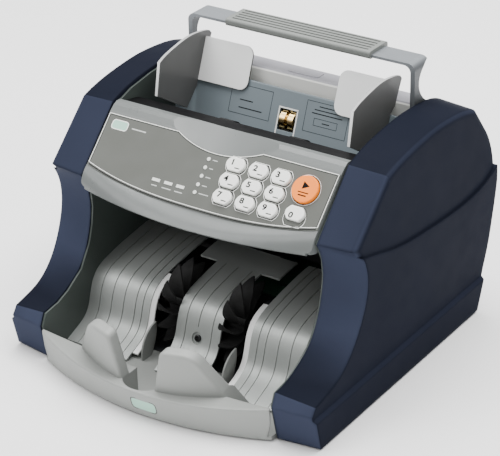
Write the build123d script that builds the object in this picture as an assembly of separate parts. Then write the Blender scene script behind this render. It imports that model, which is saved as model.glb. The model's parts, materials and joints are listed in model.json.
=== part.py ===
from build123d import *
# Banknote counting machine, built as separate pieces.
#
# Axes: +Z up, +X to the machine's right as seen from the front, the front faces -Y.
# The profiles below are drawn with y = 0 at the side covers' bottom front corner;
# every piece is then moved so that the origin is the bottom centre of the whole machine.
# All sizes are in millimetres.
import math
import os

# ---- overall sizes -------------------------------------------------------------
HALF_WIDTH = 148.0          # plinth of the side covers
FRONT_Y = -40.5             # rim of the front tray
REAR_Y = 273.0              # fullest point of the side covers
ORIGIN_Y = (FRONT_Y + REAR_Y) / 2
FOOT_HEIGHT = 1.5
TOP_Z = 236.5               # top of the carrying grip

# ---- walls and frames ----------------------------------------------------------
PLATE_IN = 110.3            # inner face of the steel side plates
PLATE_OUT = 112.0           # outer face of the side plates, inner face of the covers
COVER_IN = PLATE_OUT
CAVITY_OUT = 143.0          # inside of the covers' outer wall
LOBE_X = 146.0              # upper lobe of the covers, set back behind the swoosh ledge
BASE_TOP = 4.0
SHEET = 1.6

# ---- shafts (y, z) -------------------------------------------------------------
STACKER = (73.0, 40.0)
DRUM = (148.0, 112.0)
FEED = (141.5, 156.0)
MOTOR = (185.0, 64.0)
SHAFT_R = 4.0
MOTOR_SHAFT_R = 3.0
RUN_FIT = 0.06              # radial clearance of a running fit
BUSH_R = 7.0
WHEEL_R = 37.5
WHEEL_SIDE_R = 24.0         # where the sides of a pointed vane end
WHEEL_IN, WHEEL_OUT = 22.6, 36.6
VANES = 12
FIRST_TIP = 94.0            # direction of the first vane's tip, in degrees from +Y
DRUM_R = 20.0
FEED_R = 18.0
SLOT_IN, SLOT_OUT = 21.3, 49.5

# ---- front tray ----------------------------------------------------------------
TRAY_HALF = PLATE_IN - 0.3
TRAY_BACK = 45.0
TRAY_FLOOR = 4.5
TRAY_LOW = (-9.5, -34.0)    # front of the tray at its ends and middle, at the bottom
TRAY_HIGH = (-12.9, -42.1)  # the same at RIM_TOP, above the dip of the rim
RIM_TOP, RIM_END, RIM_MIDDLE = 31.4, 31.0, 25.6
LEDGE_BACK = -11.0          # inner edge of the ledge behind the rim
HOLLOW_TOP = 21.0           # the ledge is hollow below this height
HOLLOW_LOW, HOLLOW_HIGH = (-4.5, -29.0), (-7.0, -34.5)
NOTCH_HALF = 15.5
FIN_IN, FIN_OUT = 38.6, 40.2

# ---- control panel -------------------------------------------------------------
PANEL = Plane(origin=(0, 57.2, 151.0), x_dir=(1, 0, 0), z_dir=(0, -1, 1))
BEZEL_HALF = 110.0
PANEL_SKIN = 3.0
OVERLAY = 0.5
KEY_W, KEY_H, KEY_RISE = 16.8, 11.4, 3.0
KEY_COLUMNS = (21.7, 42.7, 63.5)
KEY_ROWS = (31.6, 17.7, 4.0)
ZERO_AT = (87.1, 7.4)
START_AT = (87.2, 27.6)
START_R = 11.2
KEY_GAP = 0.4
KEY_FLANGE = 1.0
KEY_STEM_END = -5.0
DOME_TOP = -6.9
DOME_SHEET = -8.0
BOARD_TOP = -8.8
BOARD_BOTTOM = -10.4
LAMP_X, LAMP_ROWS = -4.0, (30.5, 23.3, 15.9, 8.6, 1.9)
LAMP_R = 1.6
BAR_AT, BAR_U = (-41.8, -29.9, -18.3), 2.8
BAR_W, BAR_H = 7.6, 2.6

# ---- hopper --------------------------------------------------------------------
BACK_LEAN = math.radians(21.5)
BACK_FOOT = (172.6, 142.0)
BACK_HEIGHT = 51.6
BACK_THICK = 2.5
BACK_PLANE = Plane(origin=(0, BACK_FOOT[0], BACK_FOOT[1]), x_dir=(1, 0, 0),
                   z_dir=(0, -math.cos(BACK_LEAN), math.sin(BACK_LEAN)))
WINDOW_HALF, WINDOW_LOW, WINDOW_HIGH = 8.0, 17.5, 35.5
ROLLER_R, ROLLER_PIN_R = 8.4, 2.0
ROLLER_AT = (26.5, -6.6)    # height up the plate, distance in front of it
FLOOR_LINE = ((108.4, 186.6), (128.0, 183.0), (166.0, 158.6))
FEED_SLOT_IN, FEED_SLOT_OUT = 25.0, 43.0
GUIDE_X = 91.0
GUIDE_THICK = 2.5
GUIDE_ROD = (196.5, 177.0)
GUIDE_ROD_R = 3.0
GUIDE_BLOCK = (62.0, 86.0)
RACK_LOW, RACK_HIGH = 147.0, 153.0
RACK_FRONT = 196.6
PINION_R = 7.6
RACK_GAP = 0.4
PINION_Y = RACK_FRONT + RACK_GAP + PINION_R
RACK_REAR = PINION_Y + PINION_R + RACK_GAP
RACK_DEPTH = 3.6
RACK_REACH = 30.0
RACK_PITCH = 3.0

# ---- handle --------------------------------------------------------------------
HANDLE_PIVOT = (209.0, 187.0)
HANDLE_POST_IN, HANDLE_POST_OUT = 105.3, 109.5
HANDLE_PIN_R = 3.0
STRAP_LOW, STRAP_HIGH = 231.0, 233.2
GRIP_HALF = 69.5

# ---- rear ----------------------------------------------------------------------
REAR_WALL = 246.0
INLET_X, SWITCH_X, INLET_Z = -79.0, -55.0, 36.0
SWITCH_PIVOT_Y = 243.0
SWITCH_TILT = 8.0
SCREW_HEAD_R, SCREW_HEAD_H, SCREW_R, SCREW_L = 3.0, 1.6, 1.5, 8.0


# ---- helpers -------------------------------------------------------------------
def profile(points):
    """Closed face in the (y, z) plane through straight-sided points."""
    return make_face(Polyline(*points, close=True))


def swept_x(face, x0, x1):
    """Push a (y, z) face from x0 to x1."""
    return extrude(Plane.YZ.offset(x0) * face, amount=x1 - x0, dir=(1, 0, 0))


def box(x0, x1, y0, y1, z0, z1):
    return Pos((x0 + x1) / 2, (y0 + y1) / 2, (z0 + z1) / 2) * Box(x1 - x0, y1 - y0, z1 - z0)


def rod_x(centre, radius, x0, x1):
    """Cylinder along x; centre is (y, z)."""
    return swept_x(Pos(centre[0], centre[1]) * Circle(radius), x0, x1)


def mirrored(part):
    return mirror(part, about=Plane.YZ)


def offset_points(points, distance):
    """Points moved square to the line they lie on; positive is to the left of travel."""
    moved = []
    last = len(points) - 1
    for i, (y, z) in enumerate(points):
        y0, z0 = points[max(i - 1, 0)]
        y1, z1 = points[min(i + 1, last)]
        length = math.hypot(y1 - y0, z1 - z0)
        moved.append((y - (z1 - z0) / length * distance, z + (y1 - y0) / length * distance))
    return moved


def band(points, upper, lower):
    """Smooth strip between two offsets of one smooth line."""
    top = offset_points(points, upper)
    bottom = offset_points(points, lower)
    return make_face([Spline(*top), Line(top[-1], bottom[-1]),
                      Spline(*reversed(bottom)), Line(bottom[0], top[0])])


def sheet(points, upper, lower):
    """Bent sheet with straight flats between the points."""
    return profile(offset_points(points, upper) + offset_points(points, lower)[::-1])


def post_on_panel(sketch, at, low, high):
    return PANEL * Pos(at[0], at[1], low) * extrude(sketch, amount=high - low)


def on_back(x, up, out):
    """Location on the hopper back plate."""
    return BACK_PLANE * Pos(x, up, out)


# ---- outlines ------------------------------------------------------------------
COVER_FRONT_INNER = [(-7, 43.7), (10, 46), (23, 51), (41, 62), (53, 80), (58, 95), (60.5, 110),
                     (59, 125), (51.5, 142)]
COVER_FRONT_OUTER = [(-2, 38), (12, 41), (27, 45.5), (43, 57), (55, 73), (63, 90), (67, 108),
                     (65.5, 124), (53, 144)]
COVER_TOP_INNER = [(97, 190), (118.6, 196.5), (146.7, 200.3), (175.7, 202), (195.7, 201),
                   (216, 198.7), (236, 192)]
COVER_TOP_OUTER = [(100, 187.5), (120, 192.5), (147, 196.3), (176, 198), (196, 197),
                   (216, 194.5), (238, 188)]
COVER_REAR = [(258, 163), (270, 138), (REAR_Y, 120), (270, 88), (266, 60), (258, 32), (246, FOOT_HEIGHT)]
SWOOSH = [(44, 141), (62, 136), (82, 131), (104, 125), (160, 117.5), (222, 115), (256, 120), (280, 132)]
CAVITY = [(8, 7), (6, 34), (24, 41), (44, 54), (59, 74), (68, 98), (71, 122), (65, 141), (105, 180),
          (122, 184), (150, 188), (178, 190), (200, 188.5), (220, 184), (236, 176), (250, 150),
          (262, 122), (261, 90), (256, 60), (246, 34), (236, 7)]
PLATE_OUTLINE = [(-3.6, FOOT_HEIGHT), (-10.6, 32.8), (-6.2, 42.5), (10.3, 44.8), (23.6, 49.8), (42, 61),
                 (54.2, 79.5), (59.2, 94.7), (61.7, 110), (60.3, 125.3), (52.6, 142.3),
                 (99, 187), (120, 193.6), (147, 197.4), (176, 199), (196, 198), (216, 195.6),
                 (235, 189), (255, 163), (266, 138), (269, 120), (266, 88), (262, 60), (254, 32),
                 (243, FOOT_HEIGHT)]
BED_LINE = [(138, 66), (124, 65.5), (112, 64), (94, 61.5), (79, 58.6), (68, 55.6), (60, 51), (54, 43),
            (50, 32), (46.3, 22.5), (41, 16.6), (34, 12.9), (26, 9.8), (18, 6.6)]
STRIP_LINE = BED_LINE[4:13]


def cover_face(front, top, foot, toe):
    """One end face of a side cover."""
    return make_face([
        Line((foot, FOOT_HEIGHT), toe),
        Line(toe, front[0]),
        Spline(*front),
        Line(front[-1], top[0]),
        Spline(*top),
        Line(top[-1], COVER_REAR[0]),
        Spline(*COVER_REAR),
        Line(COVER_REAR[-1], (foot, FOOT_HEIGHT)),
    ])


def side_cover():
    inner = Plane.YZ.offset(COVER_IN) * cover_face(COVER_FRONT_INNER, COVER_TOP_INNER, -5, (-12, 33))
    outer = Plane.YZ.offset(HALF_WIDTH) * cover_face(COVER_FRONT_OUTER, COVER_TOP_OUTER, 0, (-7, 31.7))
    body = loft([inner.face(), outer.face()], ruled=True)
    above = make_face([Spline(*SWOOSH), Line(SWOOSH[-1], (280, 210)), Line((280, 210), (30, 210)),
                       Line((30, 210), SWOOSH[0])])
    body -= swept_x(above, LOBE_X, HALF_WIDTH + 2)
    waist = profile([(HALF_WIDTH + 1, 26), (HALF_WIDTH - 3, 29), (HALF_WIDTH - 3, 36),
                     (HALF_WIDTH - 0.6, 90), (HALF_WIDTH, 112), (HALF_WIDTH + 1, 112)])
    body -= Pos(0, -40, 0) * extrude(Plane.XZ * waist, amount=340, dir=(0, 1, 0))
    lobe_edges = [e for e in body.edges()
                  if e.bounding_box().min.X > LOBE_X - 0.01 and e.bounding_box().max.X < LOBE_X + 0.01
                  and e.center().Z > 140]
    body = fillet(lobe_edges, radius=5)
    return body - swept_x(profile(CAVITY), COVER_IN - 1, CAVITY_OUT)


def side_plate(shafts):
    """Sheet-metal side plate with holes for the bushes."""
    plate = swept_x(profile(PLATE_OUTLINE), PLATE_IN, PLATE_OUT)
    for centre in shafts:
        plate -= rod_x(centre, BUSH_R, PLATE_IN - 1, PLATE_OUT + 1)
    return plate - rod_x(HANDLE_PIVOT, HANDLE_PIN_R + RUN_FIT, PLATE_IN - 1, PLATE_OUT + 1)


def bushes():
    rings = []
    for x0 in (PLATE_IN - 0.7, -PLATE_OUT - 1.2):
        for centre in (STACKER, DRUM, FEED):
            ring = rod_x(centre, BUSH_R, x0, x0 + 3.6 - 0.7)
            rings.append(ring - rod_x(centre, SHAFT_R + RUN_FIT, x0 - 1, x0 + 4))
    return rings


# ---- base ----------------------------------------------------------------------
def base_plate():
    """Floor pan with stand-offs for the board, the power supply and the centre bed."""
    pan = box(-PLATE_IN, PLATE_IN, 46, REAR_WALL - 2.5, FOOT_HEIGHT, BASE_TOP)
    for x in (-24, 44):
        for y in (170, 230):
            pan += Pos(x, y, BASE_TOP + 2) * Cylinder(3, 4)
    pan += box(-10, 10, 96, 100, BASE_TOP, 60.1)
    for x0, x1 in ((SLOT_IN, SLOT_OUT), (-SLOT_OUT, -SLOT_IN)):
        y0, y1 = STACKER[0] - 22, STACKER[0] + 22
        pan += box(x0 - 2, x1 + 2, y0 - 2, y1 + 2, 0.4, BASE_TOP)
        pan -= box(x0, x1, y0, y1, 1.6, BASE_TOP + 1)
    return pan


def rubber_feet():
    return [Pos(x, y, FOOT_HEIGHT / 2) * Cylinder(9, FOOT_HEIGHT)
            for x in (-129, 129) for y in (12, 230)]


def tray_plan(z, front):
    """Outline of the tray at one height, with a bowed front."""
    end_y, mid_y = front
    face = make_face([ThreePointArc((-TRAY_HALF, end_y), (0, mid_y), (TRAY_HALF, end_y)),
                      Line((TRAY_HALF, end_y), (TRAY_HALF, TRAY_BACK)),
                      Line((TRAY_HALF, TRAY_BACK), (-TRAY_HALF, TRAY_BACK)),
                      Line((-TRAY_HALF, TRAY_BACK), (-TRAY_HALF, end_y))])
    return (Pos(0, 0, z) * face).face()


def above_rim():
    """Everything above the tray's rim, which dips in the middle."""
    far = TRAY_HALF + 2
    face = make_face([ThreePointArc((-far, RIM_END), (0, RIM_MIDDLE), (far, RIM_END)),
                      Line((far, RIM_END), (far, 40)), Line((far, 40), (-far, 40)),
                      Line((-far, 40), (-far, RIM_END))])
    return Pos(0, -60, 0) * extrude(Plane.XZ * face, amount=120, dir=(0, 1, 0))


def thumb_scoop():
    """The space between the paddles: a bay behind the rim that curves down to the floor."""
    section = make_face([Line((-38, 60), (-38, 25.6)),
                         Spline((-38, 25.6), (-35, 19), (-27, 11), (-16, 6), (-4, TRAY_FLOOR)),
                         Line((-4, TRAY_FLOOR), (8, TRAY_FLOOR)),
                         Line((8, TRAY_FLOOR), (8, 60)), Line((8, 60), (-38, 60))])
    scoop = swept_x(section, -NOTCH_HALF, NOTCH_HALF)
    bay = make_face([ThreePointArc((-NOTCH_HALF, -30), (0, -37.6), (NOTCH_HALF, -30)),
                     Line((NOTCH_HALF, -30), (NOTCH_HALF, 20)), Line((NOTCH_HALF, 20), (-NOTCH_HALF, 20)),
                     Line((-NOTCH_HALF, 20), (-NOTCH_HALF, -30))])
    return scoop & extrude(bay, amount=70)


def slot_fin():
    """Thin curved fin that stands on the tray floor in front of a wheel slot."""
    low = TRAY_FLOOR - 1
    outline = make_face([ThreePointArc((26.5, low), (30, 22.5), (46.2, 31.8)),
                         ThreePointArc((46.2, 31.8), (44.5, 17.5), (36, low)),
                         Line((36, low), (26.5, low))])
    return swept_x(outline, FIN_IN, FIN_OUT)


def front_tray():
    """Catch tray: bowed front with a broad ledge, floor, two paddles and two fins."""
    body = loft([tray_plan(FOOT_HEIGHT, TRAY_LOW), tray_plan(RIM_TOP, TRAY_HIGH)], ruled=True)
    body -= box(-TRAY_HALF - 1, TRAY_HALF + 1, LEDGE_BACK, TRAY_BACK + 1, TRAY_FLOOR, RIM_TOP + 1)
    body -= above_rim()
    rim = [e for e in body.edges() if e.center().Y < LEDGE_BACK - 10 and e.center().Z > RIM_MIDDLE - 2]
    body = fillet(rim, radius=1.4)
    body += paddle() + mirrored(paddle())
    body -= thumb_scoop()
    hollow = loft([tray_plan(0, HOLLOW_LOW), tray_plan(HOLLOW_TOP, HOLLOW_HIGH)], ruled=True)
    for x0, x1 in ((19, 88), (-88, -19)):
        body -= hollow & box(x0, x1, FRONT_Y, LEDGE_BACK - 2.5, 0, HOLLOW_TOP)
    return body + slot_fin() + mirrored(slot_fin())


def paddle():
    """One upright paddle, bowed round the tray and leaning forward."""
    bow_r, front, thick, top = 128.0, -32.7, 11.5, 63.8
    ring = Circle(bow_r) - Circle(bow_r - thick)
    ring = Pos(0, front + bow_r) * ring & Pos(50, -10) * Rectangle(80, 60)
    body = Pos(0, 0, FOOT_HEIGHT + 1) * extrude(ring, amount=70)
    face = profile([(14.2, 2), (15.5, RIM_MIDDLE), (24, top), (49, top), (68, 30), (80, 2)])
    inner_corner = face.vertices().filter_by(lambda v: v.Y > top - 1).sort_by(Axis.X)[0]
    face = fillet(inner_corner, radius=6.0)
    outer_corner = face.vertices().filter_by(lambda v: v.Y > top - 1).sort_by(Axis.X)[-1]
    outline = fillet(outer_corner, radius=17)
    body &= Pos(0, -80, 0) * extrude(Plane.XZ * outline, amount=160, dir=(0, 1, 0))

    def reach(vertex):
        return math.hypot(vertex.X, vertex.Y - front - bow_r)

    rim = [e for e in body.edges() if e.center().Z > RIM_MIDDLE - 8
           and abs(reach(e.vertices()[0]) - reach(e.vertices()[-1])) < 0.1]
    body = fillet(rim, radius=2.8)
    return body.rotate(Axis((0, front, RIM_MIDDLE), (1, 0, 0)), 6.0)


# ---- stacker -------------------------------------------------------------------
def bed(x0, x1, grooves):
    """Sheet that the counted notes slide down, with shallow grooves along its profile."""
    part = swept_x(band(BED_LINE, 0, SHEET), x0, x1)
    for x in grooves:
        part -= swept_x(band(BED_LINE, -1, 0.8), x - 0.4, x + 0.4)
    return part


def side_bed():
    return bed(SLOT_OUT, PLATE_IN, (56.5, 63.7, 75.5, 87.5, 99.5))


def screw_seat():
    """Plane on the centre bed's front slope that the screw stands on."""
    return Plane(origin=(0, 48.25, 27.0), x_dir=(1, 0, 0), z_dir=(0, -0.944, 0.33))


def centre_bed():
    part = bed(-SLOT_IN, SLOT_IN, (-12.5, 13.0))
    short_groove = swept_x(band(BED_LINE, -1, 0.8), -0.9, -0.1) & box(-2, 1, 30, 150, 36, 90)
    part -= short_groove
    tabs = swept_x(band(BED_LINE, 0, SHEET), -39, 39) & box(-40, 40, 110, 137, 50, 80)
    part += tabs
    seat = screw_seat()
    part += seat * Pos(0, 0, -3.25) * Cylinder(7.5, 5.5)
    part -= seat * Pos(0, 0, 3.5) * Cylinder(5.2, 10)
    return part - seat * Cylinder(SCREW_R + 0.1, 30)


def slot_strips():
    """White plastic strips along the outer edge of each wheel slot."""
    strip = swept_x(band(STRIP_LINE, 0.8, 2.2), SLOT_OUT - 5.2, SLOT_OUT)
    return [strip, mirrored(strip)]


def stacker_wheel():
    """Hub with curved soft vanes that end in points like petals."""
    root_r, sweep, thick = 9.0, math.radians(42), 1.2
    width = WHEEL_OUT - WHEEL_IN
    steps = 6
    line = []
    for i in range(steps + 1):
        r = root_r + (WHEEL_R + 2 - root_r) * i / steps
        angle = -sweep * i / steps
        line.append((r * math.cos(angle), r * math.sin(angle)))
    arm = swept_x(band(line, thick / 2, -thick / 2), 0, width)
    tip, waist_r = (WHEEL_R, width / 2), WHEEL_R - 4.5
    petal = make_face([Line((0, 0), (WHEEL_SIDE_R, 0)),
                       ThreePointArc((WHEEL_SIDE_R, 0), (waist_r, width / 4), tip),
                       ThreePointArc(tip, (waist_r, width * 3 / 4), (WHEEL_SIDE_R, width)),
                       Line((WHEEL_SIDE_R, width), (0, width)), Line((0, width), (0, 0))])
    arm &= revolve(Plane(origin=(0, 0, 0), x_dir=(0, 0, 1), z_dir=(0, 1, 0)) * petal, Axis.X)
    wheel = rod_x((0, 0), 11.0, 0, width)
    first = FIRST_TIP + math.degrees(sweep)
    for k in range(VANES):
        wheel += arm.rotate(Axis.X, first + 360 / VANES * k)
    wheel -= rod_x((0, 0), SHAFT_R, -1, width + 1)
    return Pos(WHEEL_IN, STACKER[0], STACKER[1]) * wheel


# ---- drive ---------------------------------------------------------------------
def pulley(centre, radius, x0, bore):
    """Flat-belt pulley with two flanges, 8 mm wide."""
    body = rod_x(centre, radius, x0, x0 + 8)
    body += rod_x(centre, radius + 2, x0, x0 + 1)
    body += rod_x(centre, radius + 2, x0 + 7, x0 + 8)
    return body - rod_x(centre, bore, x0 - 1, x0 + 9) if bore else body


def belt(c1, r1, c2, r2, x0):
    """Closed flat belt running clear of its pulleys."""
    def loop(extra):
        (ya, za), (yb, zb) = c1, c2
        ra, rb = r1 + extra, r2 + extra
        reach = math.hypot(yb - ya, zb - za)
        along = math.atan2(zb - za, yb - ya)
        spread = math.acos((ra - rb) / reach)
        corners = []
        for side in (1, -1):
            turn = along + side * spread
            corners.append([(ya + ra * math.cos(turn), za + ra * math.sin(turn)),
                            (yb + rb * math.cos(turn), zb + rb * math.sin(turn))])
        quad = make_face(Polyline(corners[0][0], corners[0][1], corners[1][1], corners[1][0], close=True))
        return quad + Pos(ya, za) * Circle(ra) + Pos(yb, zb) * Circle(rb)
    return swept_x(loop(1.5) - loop(0.35), x0 + 1.6, x0 + 6.4)


def feed_motor():
    """Motor on the inside of the right plate; it turns the drum through a belt."""
    can = rod_x(MOTOR, 22, 58, PLATE_IN - 3)
    can += rod_x(MOTOR, 27, PLATE_IN - 3, PLATE_IN)
    can += rod_x(MOTOR, 9, 54, 58)
    return can - rod_x(MOTOR, MOTOR_SHAFT_R + RUN_FIT, 96, PLATE_IN + 1)


def stacker_motor():
    """Flat motor on the end of the stacker shaft, inside the right cover."""
    can = rod_x(STACKER, 17, 115, 136)
    can += rod_x(STACKER, 19.5, PLATE_OUT + 1.5, 115)
    can += rod_x((STACKER[0], STACKER[1] + 20), 3.5, PLATE_OUT, 115)
    can += rod_x((STACKER[0] + 20, STACKER[1]), 3.5, PLATE_OUT, 115)
    return can - rod_x(STACKER, SHAFT_R + RUN_FIT, PLATE_OUT, 131)


def motor_pulley():
    return rod_x(MOTOR, MOTOR_SHAFT_R, 96.5, 123) + pulley(MOTOR, 8, 114, None)


def shaft(centre, x0, x1):
    return rod_x(centre, SHAFT_R, x0, x1)


def rubber_roller(centre, radius, x0, x1):
    """Soft roller with shallow grooves round it."""
    body = rod_x(centre, radius, x0, x1) - rod_x(centre, SHAFT_R, x0 - 1, x1 + 1)
    grooves = 4
    step = (x1 - x0) / grooves
    for k in range(grooves):
        mid = x0 + step * (k + 0.5)
        groove = rod_x(centre, radius + 1, mid - 0.4, mid + 0.4)
        body -= groove - rod_x(centre, radius - 0.8, mid - 1, mid + 1)
    return body


# ---- control panel -------------------------------------------------------------
def key_sketch(grow=0.0):
    """Barrel-shaped key outline: flat top and bottom, cut corners, bowed sides."""
    w, h = KEY_W / 2 + grow, KEY_H / 2 + grow
    flat, side, low = w - 3.3, w - 0.9, h - 2.9
    outline = make_face([Line((-flat, h), (flat, h)), Line((flat, h), (side, low)),
                         ThreePointArc((side, low), (w, 0), (side, -low)),
                         Line((side, -low), (flat, -h)), Line((flat, -h), (-flat, -h)),
                         Line((-flat, -h), (-side, -low)),
                         ThreePointArc((-side, -low), (-w, 0), (-side, low)),
                         Line((-side, low), (-flat, h))])
    return fillet(outline.vertices(), radius=1.3)


def digit_key(at):
    cap = extrude(key_sketch(), amount=OVERLAY + KEY_RISE + PANEL_SKIN + 0.4)
    top = cap.faces().sort_by(Axis.Z)[-1]
    cap = fillet(top.edges(), radius=0.8)
    cap = Pos(0, 0, -PANEL_SKIN - 0.4) * cap
    cap += Pos(0, 0, -PANEL_SKIN - 0.4 - KEY_FLANGE) * extrude(key_sketch(1.1), amount=KEY_FLANGE)
    cap += Pos(0, 0, KEY_STEM_END) * extrude(Circle(2.0), amount=1.6)
    return PANEL * Pos(at[0], at[1], 0) * cap


def start_key():
    height = OVERLAY + KEY_RISE + PANEL_SKIN + 0.4
    cap = Cylinder(START_R, height, align=(Align.CENTER, Align.CENTER, Align.MIN))
    cap = fillet(cap.edges().sort_by(Axis.Z)[-1], radius=0.9)
    cap = Pos(0, 0, -PANEL_SKIN - 0.4) * cap
    cap += Pos(0, 0, -PANEL_SKIN - 0.4 - KEY_FLANGE) * extrude(Circle(START_R + 1.1), amount=KEY_FLANGE)
    cap += Pos(0, 0, KEY_STEM_END) * extrude(Circle(2.0), amount=1.6)
    return PANEL * Pos(START_AT[0], START_AT[1], 0) * cap


def key_places():
    """Digit and centre of every number key."""
    places = {0: ZERO_AT}
    for row, u in enumerate(KEY_ROWS):
        for column, x in enumerate(KEY_COLUMNS):
            places[3 * row + column + 1] = (x, u)
    return places


def lip_section(x):
    """Cross-section of the bezel at x: the 45 degree face, then a round lip."""
    s = (x / BEZEL_HALF) ** 2
    start = -12.4 * (1 - s) - 0.9
    edge_y = 31.6 + 16.0 * s
    low = PANEL.origin.Z - 18.2
    root = math.sqrt(0.5)
    face_y, face_z = PANEL.origin.Y + root * start, PANEL.origin.Z + root * start
    bulge = ((face_y + edge_y) / 2 - 1.6, (face_z + low + 1.6) / 2 + 1.2)
    return Plane.YZ.offset(x) * make_face([
        ThreePointArc((face_y, face_z), bulge, (edge_y, low + 1.6)),
        Line((edge_y, low + 1.6), (edge_y + 1.2, low)), Line((edge_y + 1.2, low), (58, low)),
        Line((58, low), (108, low + 22.2)), Line((108, low + 22.2), (108, 186.8)),
        Line((108, 186.8), (104, 190.2)), Line((104, 190.2), (99.5, 190.4)),
        Line((99.5, 190.4), (95.5, 188.4)), Line((95.5, 188.4), (91.5, 185.3)),
        Line((91.5, 185.3), (face_y, face_z))])


def panel_bezel():
    stations = 12
    cuts = [BEZEL_HALF * (2 * k / stations - 1) for k in range(stations + 1)]
    body = loft([lip_section(x).face() for x in cuts], ruled=True)
    corner_r, corner_u = 4.5, -18.0
    corner = Pos(BEZEL_HALF, corner_u) * Rectangle(2 * corner_r, 2 * corner_r)
    corner -= Pos(BEZEL_HALF - corner_r, corner_u + corner_r) * Circle(corner_r)
    corner = PANEL * Pos(0, 0, -20) * extrude(corner, amount=32)
    body -= corner + mirrored(corner)
    body -= PANEL * Pos(0, 127.7, 285.7) * Sphere(300)
    skin = PANEL * Pos(0, 17, -PANEL_SKIN - 15) * Box(2 * BEZEL_HALF - 6, 46, 30)
    low = PANEL.origin.Z - 16.0
    under = swept_x(profile([(62, low + 8), (62, low - 4), (109, low - 4), (109, 172), (96, 172)]),
                    -BEZEL_HALF + 3, BEZEL_HALF - 3)
    body -= skin + under
    for at in key_places().values():
        body -= post_on_panel(key_sketch(KEY_GAP), at, -PANEL_SKIN - 2, 3)
    body -= post_on_panel(Circle(START_R + KEY_GAP), START_AT, -PANEL_SKIN - 2, 3)
    for u in LAMP_ROWS:
        body -= post_on_panel(Circle(LAMP_R), (LAMP_X, u), -PANEL_SKIN - 2, 3)
    for x in BAR_AT:
        body -= post_on_panel(Rectangle(BAR_W, BAR_H), (x, BAR_U), -PANEL_SKIN - 2, 3)
    for at in ((-56, -1.5), (-56, 35), (103.4, -1.5), (103.4, 35)):
        body += post_on_panel(Circle(2.6), at, BOARD_TOP, -PANEL_SKIN + 0.5)
    return body


def panel_overlay():
    """Printed film over the control panel, cut round the keys and lamps."""
    half = BEZEL_HALF - 0.4
    outline = make_face([
        Spline((-half, -0.2), (-72, -8.2), (0, -12.3), (72, -8.2), (half, -0.2)),
        Line((half, -0.2), (half, 46.3)),
        Line((half, 46.3), (40, 46.3)),
        ThreePointArc((40, 46.3), (0, 36.6), (-40, 46.3)),
        Line((-40, 46.3), (-half, 46.3)),
        Line((-half, 46.3), (-half, -0.2)),
    ])
    for at in key_places().values():
        outline -= Pos(*at) * key_sketch(KEY_GAP)
    outline -= Pos(*START_AT) * Circle(START_R + KEY_GAP)
    for u in LAMP_ROWS:
        outline -= Pos(LAMP_X, u) * Circle(LAMP_R)
    for x in BAR_AT:
        outline -= Pos(x, BAR_U) * Rectangle(BAR_W, BAR_H)
    return PANEL * Pos(0, 0, 0.03) * extrude(outline, amount=OVERLAY)


def indicator_lamps():
    lamps = [post_on_panel(Circle(LAMP_R), (LAMP_X, u), BOARD_TOP, OVERLAY + 0.5) for u in LAMP_ROWS]
    bars = [post_on_panel(Rectangle(BAR_W, BAR_H), (x, BAR_U), BOARD_TOP, OVERLAY + 0.4) for x in BAR_AT]
    return lamps + bars


def key_board():
    return PANEL * Pos(22.5, 16.8, (BOARD_TOP + BOARD_BOTTOM) / 2) * Box(166, 42, BOARD_TOP - BOARD_BOTTOM)


def key_domes():
    """Soft sheet with one dome under every key."""
    body = PANEL * Pos(55, 17, (DOME_SHEET + BOARD_TOP) / 2) * Box(90, 38, DOME_SHEET - BOARD_TOP)
    for at in list(key_places().values()) + [START_AT]:
        dome = Cone(4.0, 2.6, DOME_TOP - DOME_SHEET, align=(Align.CENTER, Align.CENTER, Align.MIN))
        body += PANEL * Pos(at[0], at[1], DOME_SHEET) * dome
    return body


# ---- hopper --------------------------------------------------------------------
def hopper_back_plate():
    blank = Pos(0, BACK_HEIGHT / 2, -BACK_THICK / 2) * Box(2 * PLATE_IN, BACK_HEIGHT, BACK_THICK)
    top_edge = blank.edges().filter_by(Axis.X).filter_by(lambda e: e.center().Y > BACK_HEIGHT - 1)
    plate = BACK_PLANE * fillet(top_edge, radius=1.2)
    height = WINDOW_HIGH - WINDOW_LOW
    plate -= on_back(0, (WINDOW_HIGH + WINDOW_LOW) / 2, 0) * Box(2 * WINDOW_HALF, height, 20)
    ear_y, ear_out = ROLLER_AT
    for side in (-1, 1):
        ear = on_back(side * (WINDOW_HALF + 1.5), ear_y, -BACK_THICK / 2 - 4.5) * Box(3, 8, 9)
        plate += ear
    bore = Cylinder(ROLLER_PIN_R + RUN_FIT, 2 * WINDOW_HALF + 8, rotation=(0, 90, 0))
    return plate - on_back(0, ear_y, ear_out) * bore


def window_roller():
    """Brass roller with two rings, turning in the window of the back plate."""
    ring_w, reach = 5.0, 2 * WINDOW_HALF + 4
    body = Cylinder(ROLLER_PIN_R, reach, rotation=(0, 90, 0))
    body += Cylinder(ROLLER_R - 2.5, 2 * ring_w + 3, rotation=(0, 90, 0))
    for side in (-1, 1):
        body += Pos(side * (ring_w / 2 + 1.5), 0, 0) * Cylinder(ROLLER_R, ring_w, rotation=(0, 90, 0))
    return on_back(0, ROLLER_AT[0], ROLLER_AT[1]) * body


def hopper_floor():
    floor = swept_x(sheet(FLOOR_LINE, 0, -2.0), -PLATE_IN, PLATE_IN)
    for x0, x1 in ((FEED_SLOT_IN, FEED_SLOT_OUT), (-FEED_SLOT_OUT, -FEED_SLOT_IN)):
        floor -= rod_x(FEED, FEED_R + 1.2, x0, x1)
    return floor


def inner_note_guide():
    line = [(66, 130), (84, 124), (102, 111), (114, 96), (119, 85)]
    return swept_x(band(line, 0, -1.6), -PLATE_IN, PLATE_IN)


def count_sensors():
    """Two light sensors on the back of the inner guide."""
    blocks = []
    for x in (-60, 60):
        place = Plane(origin=(x, 118.3, 92.5), x_dir=(1, 0, 0), z_dir=(0, 0.91, 0.42))
        blocks.append(place * Pos(0, 0, 3.4) * Box(18, 10, 5))
    return blocks


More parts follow.
